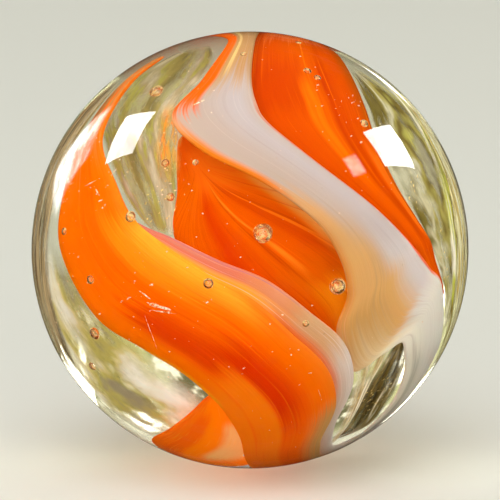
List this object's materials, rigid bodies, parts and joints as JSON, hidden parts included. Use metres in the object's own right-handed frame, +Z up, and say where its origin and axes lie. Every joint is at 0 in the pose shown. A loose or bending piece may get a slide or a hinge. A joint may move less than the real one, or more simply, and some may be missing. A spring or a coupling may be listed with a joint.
{
  "type": "glass marble",
  "caption": "Clear glass toy marble with swirled orange and white ribbons and trapped air bubbles.",
  "frame": {"origin": "centre of the ball", "axes": "+Z up through the ends of the upper band's arch, front of the swirl towards -Y"},
  "size_m": [0.016, 0.016, 0.016],
  "materials": {
    "clear_glass": "polished, faintly yellow-green, with fine scratches and small chips",
    "white_glass": "cream-white streaked glass, opaque along its middle and thin at its edges",
    "orange_glass": "bright translucent orange glass with streaks along the ribbon",
    "deep_orange_glass": "orange glass in fan-shaped streaks, seen deeper in the ball"
  },
  "bodies": {
    "root": {"clear_glass": "clear_glass", "upper_white_ribbon": "white_glass", "upper_orange_ribbon": "orange_glass", "middle_orange_ribbon": "deep_orange_glass", "lower_orange_ribbon": "orange_glass", "lower_white_ribbon": "white_glass", "folded_orange_ribbon": "deep_orange_glass"}
  },
  "joints": []
}
